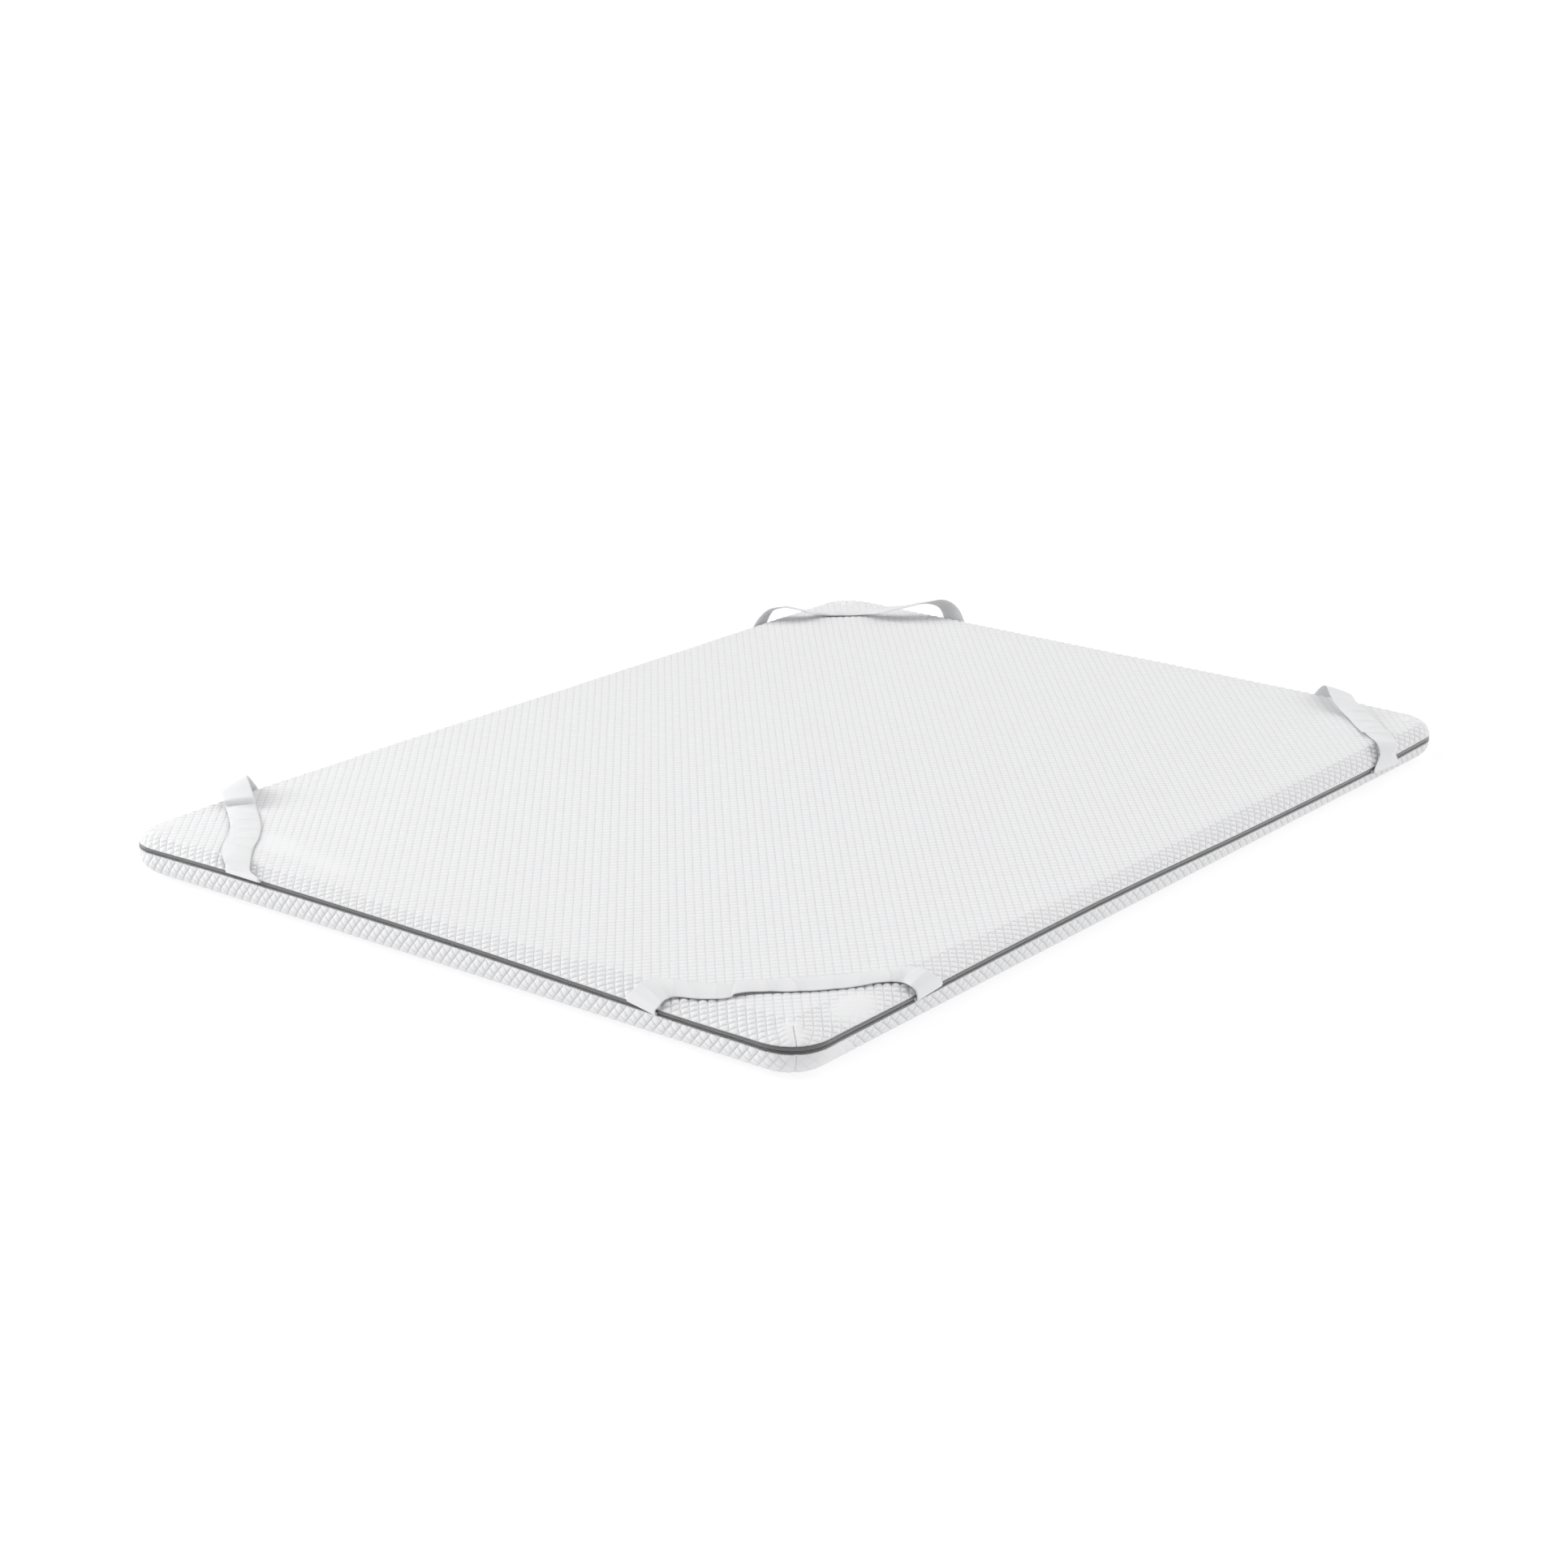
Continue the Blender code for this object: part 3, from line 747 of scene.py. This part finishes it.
def root_rows(corner, root, on_end_side):
    """A sewn end: down from the seam, round the fold, and up clear of the cover."""
    lean, place = radians(root.lean), root.place * MM
    bulge, drop = root.bulge * MM, root.drop * MM
    seam = strap_seam(corner, place, on_end_side)
    loop = (
        (LAYER_OUT, SEWN_HEIGHT), (LAYER_OUT, FOLD_HEIGHT), ((LAYER_OUT + bulge) / 2, 0),
        (bulge, FOLD_HEIGHT), (bulge, FREE_HEIGHT),
    )
    rows = []
    for out, rise in loop:
        u, v = (-out, place) if on_end_side else (place, -out)
        swing = pi / 2 if on_end_side else 0
        rows.append((u, v, seam - drop + rise, swing, lean, root.edge * MM))
    return rows


def strap_seam(corner, place, on_end_side):
    """Height of the tape's upper edge at a distance from a corner, along one side."""
    side_x, side_y = corner
    if on_end_side:
        x, y = side_x * WIDTH / 2, side_y * (LENGTH / 2 - place)
    else:
        x, y = side_x * (WIDTH / 2 - place), side_y * LENGTH / 2
    return float(tape_top(outline_place(np.array([x]), np.array([y]))[3])[0])


def catmull_rom(rows, steps):
    """The smooth curve through rows of numbers, with steps between two rows."""
    rows = np.array(rows)
    padded = np.concatenate((rows[:1], rows, rows[-1:]))
    before, low, high, after = padded[:-3], padded[1:-2], padded[2:-1], padded[3:]
    t = (np.arange(steps) / steps)[None, :, None]
    before, low, high, after = (part[:, None, :] for part in (before, low, high, after))
    curve = 0.5 * (2 * low + (high - before) * t
                   + (2 * before - 5 * low + 4 * high - after) * t ** 2
                   + (3 * low - 3 * high + after - before) * t ** 3)
    return np.concatenate((curve.reshape(-1, rows.shape[1]), rows[-1:]))


def cover_top(x, y):
    """Height of the upper cover's crests over a plan point, low outside the pad."""
    _, _, reach, run = outline_place(x, y)
    inset, start = fold_inset(run), upper_seam(run) + LIP_ROUND
    share = np.clip((reach - (CORNER_RADIUS - inset)) / inset, 0, 1)
    upward = (1 - share ** SHOULDER_EXPONENT) ** (1 / SHOULDER_EXPONENT)
    crest = CREST_GAP * (1 - smoothstep(0, SIDE_BLEND, reach - (CORNER_RADIUS - inset)))
    top = start + (THICKNESS - start) * upward + crest
    return np.where(reach < CORNER_RADIUS, top, -1)


def lowest_drop(points, rays, most):
    """How far each group of points can come down its rays to the cover."""
    drops = np.zeros(len(points))
    falling = np.ones(len(points), bool)
    for drop in np.arange(0, most, SETTLE_STEP):
        lowered = points + rays * drop
        gap = lowered[..., 2] - cover_top(lowered[..., 0], lowered[..., 1]) - SETTLED_GAP
        falling &= gap.min(1) >= 0
        drops[falling] = drop
    return drops


def evened(drops, held):
    """Drops made smooth along a strap, none where it is held, and none made greater."""
    drops = drops * (1 - held)
    window = np.arange(-SETTLE_ROWS, SETTLE_ROWS + 1)
    near = np.clip(np.arange(len(drops))[:, None] + window, 0, len(drops) - 1)
    return drops[near].min(1)[near].mean(1)


def settle(points, shares):
    """Lower a strap's rows, then its edges, onto the cover along the line of sight."""
    rays = points - np.array(camera_place())
    rays = rays / -rays[..., 2:]
    middle = points[:, points.shape[1] // 2]
    held = smoothstep(*ARCH_HEIGHTS, middle[:, 2])
    reach = outline_place(middle[:, 0], middle[:, 1])[2]
    held = np.maximum(held, smoothstep(*ROOT_REACH, reach))
    drops = evened(lowest_drop(points, rays, SETTLE_MOST), held)
    points = points + rays * drops[:, None, None]
    for column, side in ((0, -1), (STRAP_COLUMNS, 1)):
        edge = slice(column, column + 1)
        drops = lowest_drop(points[:, edge], rays[:, edge], EDGE_SETTLE_MOST)
        weight = np.clip(2 * side * shares, 0, 1) ** EDGE_BEND
        points = points + rays * (evened(drops, held)[:, None] * weight)[..., None]
    return points


def creased(name, points, run, shares):
    """Raise a strap's cloth into its crown, creases and pleats."""
    along = np.gradient(points, axis=0)
    across = np.gradient(points, axis=1)
    normal = np.cross(along, across)
    normal /= np.maximum(np.linalg.norm(normal, axis=-1, keepdims=True), 1e-9)
    middle = len(points) // 2
    if normal[middle, :, 2].mean() < 0:
        normal = -normal
    run, shares = run[:, None] / MM, shares[None, :]
    raised = STRAP_CROWN / MM * (1 - (2 * shares) ** 2) + 0 * run
    on_cloth = 1 - EDGE_REST * np.abs(2 * shares) ** 3
    for place, slant, height, width in CREASES[name]:
        beyond = (run - place - slant * shares) / width
        gentle, steep = (np.exp(-np.abs(beyond) * fall) for fall in CREASE_FALLS)
        fallen = np.where(beyond < 0, gentle, steep)
        raised = raised + CREASE_SCALE * height * on_cloth * fallen
    for place, slant, height, width in PLEATS.get(name, ()):
        beyond = run - place - slant * shares
        step = smoothstep(0, PLEAT_STEP, beyond) * (1 - smoothstep(0, width, beyond))
        raised = raised + height * step
    ends = smoothstep(*SMOOTH_ENDS, run) * smoothstep(*SMOOTH_ENDS, run.max() - run)
    return points + normal * (raised * ends * MM)[..., None]


def add_strap(strap):
    """An elastic strap: a ribbon over the rows of its table, thickened both ways."""
    rows = root_rows(strap.corner, strap.start, False)
    for u, v, height, swing, lean in strap.rows:
        place = (u * MM, v * MM, height * MM)
        rows.append((*place, radians(swing), radians(lean), STRAP_WIDTH))
    rows += reversed(root_rows(strap.corner, strap.end, True))
    line = catmull_rom(rows, STEPS_PER_ROW)
    middle, swing, lean, width = line[:, :3], line[:, 3], line[:, 4], line[:, 5]
    across = np.stack((np.cos(swing) * np.cos(lean), np.sin(swing) * np.cos(lean),
                       np.sin(lean)), -1) * width[:, None]
    shares = np.linspace(-0.5, 0.5, STRAP_COLUMNS + 1)
    grid = middle[:, None, :] + across[:, None, :] * shares[None, :, None]
    inward = np.maximum(grid[..., :2], -STRAP_REACH)
    side_x, side_y = strap.corner
    points = np.stack((side_x * (WIDTH / 2 - inward[..., 0]),
                       side_y * (LENGTH / 2 - inward[..., 1]), grid[..., 2]), -1)
    run = np.concatenate(([0], np.cumsum(np.linalg.norm(np.diff(middle, axis=0), axis=1))))
    points = creased(strap.name, settle(points, shares), run, shares)
    mesh = strip_mesh(strap.name, points, run[:, None], shares * STRAP_WIDTH)
    ribbon = put("elastic_" + strap.name, mesh)
    thickness = ribbon.modifiers.new("thickness", "SOLIDIFY")
    thickness.thickness = STRAP_THICKNESS
    thickness.offset = 0
    return ribbon


# -------- materials

TOP_VALLEYS = (0.10, 0.23)     # alpha and beta valleys' shade, in shares of a diamond
SIDE_VALLEYS = (0.13, 0.10)
KNIT_LOOPS = 900.0             # grain of the loops and of the uneven shade, for each metre
KNIT_PATCHES = 60.0
SHADE_SPREAD = 0.02
STITCH_DEPTH = 0.35 * MM
LOOP_DEPTH = 0.12 * MM
DART_LINE = (0.4 * MM, 1.8 * MM)
DIAGONAL = 1.41                # an even reach across and along, added up
TAPE_WEAVE = 1400.0
TAPE_WEAR = 120.0
TAPE_UNEVEN = 0.15
TAPE_SPECKLE = (0.42, 0.62)
COIL_PITCH = 1.5 * MM
COIL_COLOURS = ((0.02, 0.02, 0.022, 1), (0.075, 0.076, 0.08, 1))
RIB_PITCH = 1.8 * MM           # the elastic's ribs across it and its weave along it
WARP_PITCH = 1.6 * MM
ELASTIC_FUZZ = 700.0
ELASTIC_COLOURS = ((0.72, 0.722, 0.73, 1), (0.775, 0.777, 0.785, 1))


class Nodes:
    """The node tree of a material or a world, with short calls to fill it."""

    def __init__(self, holder):
        holder.use_nodes = True
        self.holder, self.tree = holder, holder.node_tree

    def add(self, kind, inputs=None, **settings):
        node = self.tree.nodes.new(kind)
        for name, value in settings.items():
            setattr(node, name, value)
        for socket, value in (inputs or {}).items():
            self.feed(node.inputs[socket], value)
        return node

    def feed(self, socket, value):
        if isinstance(value, bpy.types.NodeSocket):
            self.tree.links.new(value, socket)
        else:
            socket.default_value = value

    def math(self, operation, *values):
        inputs = dict(enumerate(values))
        return self.add("ShaderNodeMath", inputs, operation=operation).outputs[0]

    def mix(self, share, low, high):
        inputs = {0: share, 6: low, 7: high}
        return self.add("ShaderNodeMix", inputs, data_type="RGBA").outputs[2]

    def noise(self, place, scale, detail=2.0):
        inputs = {"Vector": place, "Scale": scale, "Detail": detail}
        return self.add("ShaderNodeTexNoise", inputs).outputs[0]

    def ramp(self, value, low, high, out_low=0.0, out_high=1.0):
        inputs = {0: value, 1: low, 2: high, 3: out_low, 4: out_high}
        node = self.add("ShaderNodeMapRange", inputs, interpolation_type="SMOOTHSTEP")
        return node.outputs[0]

    def bump(self, height, distance, strength=1.0, normal=None):
        inputs = {"Strength": strength, "Distance": distance, "Height": height}
        if normal is not None:
            inputs["Normal"] = normal
        return self.add("ShaderNodeBump", inputs).outputs[0]

    def finish(self, **inputs):
        """The material, its surface given the inputs by their names."""
        shader = self.tree.nodes["Principled BSDF"]
        for socket, value in inputs.items():
            self.feed(shader.inputs[socket.replace("_", " ")], value)
        return self.holder


def material_nodes(name):
    return Nodes(bpy.data.materials.new(name))


def knit_material(name, light_grey, valley_shade_grey, dart_grey, valley_widths):
    """White quilted double knit: soft valleys along the stitch lines, with painted shade
    darkening their colour, fine loops.
    """
    nodes = material_nodes(name)
    uv = nodes.add("ShaderNodeUVMap", uv_map="quilt").outputs[0]
    split = nodes.add("ShaderNodeSeparateXYZ", {0: uv})
    valleys = []
    for axis, width in enumerate(valley_widths):
        whole = nodes.math("FRACT", split.outputs[axis])
        valleys.append(nodes.ramp(nodes.math("PINGPONG", whole, 0.5), 0.0, width))
    crown = nodes.math("MINIMUM", *valleys)
    place = nodes.add("ShaderNodeTexCoord").outputs["Object"]
    quilting = nodes.add("ShaderNodeAttribute", attribute_name="quilting").outputs["Fac"]
    away = nodes.math("SUBTRACT", crown, 1.0)
    groove = nodes.math("ADD", nodes.math("MULTIPLY", away, quilting), 1.0)
    dart = dart_line(nodes, place)
    loops = nodes.noise(place, KNIT_LOOPS)
    patches = nodes.noise(place, KNIT_PATCHES, 3.0)
    sewn = nodes.math("MULTIPLY", groove, dart)
    stitched = nodes.bump(sewn, STITCH_DEPTH)
    surface = nodes.bump(loops, LOOP_DEPTH, 0.6, stitched)
    shades = (grey(light_grey - SHADE_SPREAD), grey(light_grey + SHADE_SPREAD))
    light = nodes.mix(patches, *shades)
    # painted shade: the colour darkens in the valleys along the stitch lines
    quilted = nodes.mix(groove, grey(valley_shade_grey), light)
    colour = nodes.mix(dart, grey(dart_grey), quilted)
    return nodes.finish(Base_Color=colour, Roughness=0.9, Normal=surface, Sheen_Weight=0.15,
                        Sheen_Roughness=0.6)


def grey(level):
    return (level, level, level * 1.012, 1)


def dart_line(nodes, place):
    """0 in the darts' sewn line and 1 away from it."""
    axes = nodes.add("ShaderNodeSeparateXYZ", {0: place})
    past = []
    for axis, core in ((0, CORE_X), (1, CORE_Y)):
        past.append(nodes.math("SUBTRACT", nodes.math("ABSOLUTE", axes.outputs[axis]), core))
    from_dart = nodes.math("ABSOLUTE", nodes.math("SUBTRACT", *past))
    reach = nodes.math("ADD", *past)
    beside_line = nodes.ramp(from_dart, *DART_LINE)
    line_end = DIAGONAL * EAR_REACH
    above_ear = nodes.ramp(reach, line_end, line_end + 5 * MM, 1.0, 0.0)
    return nodes.math("MAXIMUM", beside_line, above_ear)


def tape_material(name, dark_grey, light_grey):
    """Mid grey woven polyester tape with a fine speckle."""
    nodes = material_nodes(name)
    place = nodes.add("ShaderNodeTexCoord").outputs["Object"]
    weave = nodes.noise(place, TAPE_WEAVE)
    wear = nodes.noise(place, TAPE_WEAR)
    worn = (grey(dark_grey * (1 - TAPE_UNEVEN)), grey(dark_grey * (1 + TAPE_UNEVEN)))
    speckle = nodes.ramp(weave, *TAPE_SPECKLE)
    colour = nodes.mix(speckle, nodes.mix(wear, *worn), grey(light_grey))
    surface = nodes.bump(weave, 0.2 * MM, 0.7)
    return nodes.finish(Base_Color=colour, Roughness=0.62, Normal=surface, Sheen_Weight=1.0,
                        Sheen_Roughness=0.4)


def coil_material():
    """Dark nylon coil: fine ribs across its length."""
    nodes = material_nodes("zip_coil")
    uv = nodes.add("ShaderNodeUVMap", uv_map="strip").outputs[0]
    along = nodes.add("ShaderNodeSeparateXYZ", {0: uv}).outputs[0]
    ribs = nodes.math("PINGPONG", nodes.math("MULTIPLY", along, 1 / COIL_PITCH), 0.5)
    colour = nodes.mix(nodes.math("MULTIPLY", ribs, 2.0), *COIL_COLOURS)
    return nodes.finish(Base_Color=colour, Roughness=0.42, Normal=nodes.bump(ribs, 0.5 * MM))


def elastic_material():
    """Soft woven elastic: close ribs across the strap and a finer weave along it."""
    nodes = material_nodes("elastic")
    uv = nodes.add("ShaderNodeUVMap", uv_map="strip").outputs[0]
    split = nodes.add("ShaderNodeSeparateXYZ", {0: uv})
    ribs, warp = (
        nodes.math("PINGPONG", nodes.math("MULTIPLY", split.outputs[axis], 1 / pitch), 0.5)
        for axis, pitch in enumerate((RIB_PITCH, WARP_PITCH)))
    place = nodes.add("ShaderNodeTexCoord").outputs["Object"]
    fuzz = nodes.noise(place, ELASTIC_FUZZ)
    woven = nodes.math("ADD", nodes.math("MULTIPLY", ribs, 0.8),
                       nodes.math("MULTIPLY", warp, 0.6))
    height = nodes.math("ADD", woven, fuzz)
    surface = nodes.bump(height, 0.18 * MM, 0.8)
    colour = nodes.mix(fuzz, *ELASTIC_COLOURS)
    return nodes.finish(Base_Color=colour, Roughness=0.8, Normal=surface, Sheen_Weight=0.2)


# -------- studio

CAMERA_TARGET = Vector((-0.1402, 0.0628, 0.0))
CAMERA_YAW = radians(37.197)
CAMERA_PITCH = radians(18.200)
CAMERA_ROLL = radians(0.8266)
CAMERA_DISTANCE = 5.4401
SENSOR = 36.0
PHOTO_FOCAL, PHOTO_WIDTH = 3707.70, 1932   # in pixels of the photo
FOCAL_LENGTH = SENSOR * PHOTO_FOCAL / PHOTO_WIDTH

# The studio: soft lights on the front left and behind on the right, dimmer towards the
# near corner, and a round light close by on the left
Lobe = namedtuple("Lobe", "towards edge low high")
SOFT_LIGHTS = (Lobe((-0.6, -0.7, 0.4), 0.5, 0.12, 2.95), Lobe((0.8, 0.5, 0.5), 0.0, 0.0, 1.76))
DIM_SIDE = Lobe((0.62, -0.78, 0.35), 0.0, 1.0, 0.36)
SIDE_LIGHT_PLACE = Vector((-1.7, -1.5, 0.9))
SIDE_LIGHT_TARGET = Vector((-0.6, -0.8, 0.0))
SIDE_LIGHT_SIZE = 0.9
SIDE_LIGHT_POWER = 5.5
FLOOR_SIZE = 600.0
FLOOR_DROP = 1.2 * MM          # the floor lies this far under the pad
FLOOR_GREY = 0.35
FLOOR_GLOW = 0.68


def camera_back():
    """From the camera's target towards the camera."""
    return Vector((sin(CAMERA_YAW) * cos(CAMERA_PITCH), -cos(CAMERA_YAW) * cos(CAMERA_PITCH),
                   sin(CAMERA_PITCH)))


def camera_place():
    return CAMERA_TARGET + camera_back() * CAMERA_DISTANCE


def add_camera():
    """A camera at the photograph's angle, distance and framing."""
    back = camera_back()
    right = (-back).cross(Vector((0, 0, 1))).normalized()
    up = right.cross(-back)
    rolled_right = right * cos(CAMERA_ROLL) + up * sin(CAMERA_ROLL)
    rolled_up = up * cos(CAMERA_ROLL) - right * sin(CAMERA_ROLL)
    data = bpy.data.cameras.new("camera")
    data.lens = FOCAL_LENGTH
    data.sensor_width = SENSOR
    data.clip_end = FLOOR_SIZE * 1.5
    camera = bpy.data.objects.new("camera", data)
    turned = Matrix((rolled_right, rolled_up, back)).transposed().to_4x4()
    camera.matrix_world = Matrix.Translation(camera_place()) @ turned
    bpy.context.scene.collection.objects.link(camera)
    bpy.context.scene.camera = camera


def add_floor():
    """A plain grey floor that glows, so that it shows white with faint shadows."""
    mesh = bpy.data.meshes.new("floor")
    half = FLOOR_SIZE / 2
    corners = [(-half, -half, 0), (half, -half, 0), (half, half, 0), (-half, half, 0)]
    mesh.from_pydata(corners, [], [(0, 1, 2, 3)])
    floor = put("floor", mesh)
    floor.location.z = -FLOOR_DROP
    nodes = material_nodes("floor")
    mesh.materials.append(nodes.finish(
        Base_Color=grey(FLOOR_GREY), Roughness=0.9, Emission_Color=(1, 1, 1, 1),
        Emission_Strength=FLOOR_GLOW))


def add_sky():
    """Soft light from two sides, dimmer towards the near corner."""
    world = bpy.data.worlds.new("studio")
    nodes = Nodes(world)
    direction = nodes.add("ShaderNodeTexCoord").outputs["Generated"]
    front, behind = (sky_lobe(nodes, direction, lobe) for lobe in SOFT_LIGHTS)
    both = nodes.math("ADD", front, behind)
    strength = nodes.math("MULTIPLY", both, sky_lobe(nodes, direction, DIM_SIDE))
    background = nodes.tree.nodes["Background"]
    nodes.feed(background.inputs["Color"], (1, 1, 1, 1))
    nodes.feed(background.inputs["Strength"], strength)
    bpy.context.scene.world = world


def sky_lobe(nodes, direction, lobe):
    """A value that changes smoothly between a lobe's two levels towards its direction."""
    inputs = {0: direction, 1: Vector(lobe.towards).normalized()}
    along = nodes.add("ShaderNodeVectorMath", inputs, operation="DOT_PRODUCT")
    return nodes.ramp(along.outputs["Value"], lobe.edge, 1.0, lobe.low, lobe.high)


def add_side_light():
    """A round soft light over the left front, close enough to fall off to the right."""
    data = bpy.data.lights.new("side_light", "AREA")
    data.shape = "DISK"
    data.size = SIDE_LIGHT_SIZE
    data.energy = SIDE_LIGHT_POWER
    light = bpy.data.objects.new("side_light", data)
    light.location = SIDE_LIGHT_PLACE
    light.visible_camera = False
    towards = SIDE_LIGHT_TARGET - SIDE_LIGHT_PLACE
    light.rotation_euler = towards.to_track_quat("-Z", "Y").to_euler()
    bpy.context.scene.collection.objects.link(light)


def add_studio():
    add_sky()
    add_side_light()
    add_floor()
    bpy.context.scene.view_settings.view_transform = "Standard"


# -------- assembly

def dress(piece, node, material):
    """Give a piece its material, hang it under the root body and hide the CAD part that it
    stands for.
    """
    piece.data.materials.clear()
    piece.data.materials.append(material)
    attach(piece, "root")
    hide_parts(node)
    return piece


UPPER_COVER = Cover(
    name="quilt_upper", flat=THICKNESS, facing=1, seam=upper_seam, section=upper_section,
    inset=fold_inset, crown_flat=1.9 * MM, crown_side=3.2 * MM, sink=0.58, ridged=0.0,
    hem_fade=6 * MM, fine_from=0.0, patches=UPPER_PATCHES, closing_height=56 * MM)
LOWER_COVER = Cover(
    name="quilt_lower", flat=0.0, facing=-1, seam=lower_seam, section=lower_section,
    inset=undercut_inset, crown_flat=1.0 * MM, crown_side=2.4 * MM, sink=1.0, ridged=1.0,
    hem_fade=7 * MM, fine_from=24 * MM, patches=LOWER_PATCHES, closing_height=41 * MM)


def main():
    top_knit = knit_material("quilted_knit", 0.80, 0.70, 0.50, TOP_VALLEYS)
    # the lower cover's knit is the top's knit with darker greys: painted shade
    side_knit_painted_shade = knit_material("quilted_knit_side", 0.74, 0.63, 0.62, SIDE_VALLEYS)
    light_tape = tape_material("zip_tape", 0.098, 0.155)
    # the lower tape is the upper tape made darker: painted shade
    tape_painted_shade = tape_material("zip_tape_shaded", 0.06, 0.095)
    coil, elastic = coil_material(), elastic_material()
    upper = dress(quilted_cover(UPPER_COVER), "cover_upper", top_knit)
    lower = dress(quilted_cover(LOWER_COVER), "cover_lower", side_knit_painted_shade)
    upper_tape = add_tape("tape_upper", lambda run: zip_middle(run) + SLIT_TOP, tape_top)
    dress(upper_tape, "zip_tape_upper", light_tape)
    lower_tape = add_tape("tape_lower", tape_bottom, lambda run: zip_middle(run) + SLIT_BOTTOM)
    dress(lower_tape, "zip_tape_lower", tape_painted_shade)
    dress(add_coil("coil"), "zip_coil", coil)
    for strap in STRAPS:
        ribbon = dress(add_strap(strap), strap.name, elastic)


add_camera()
add_studio()
main()
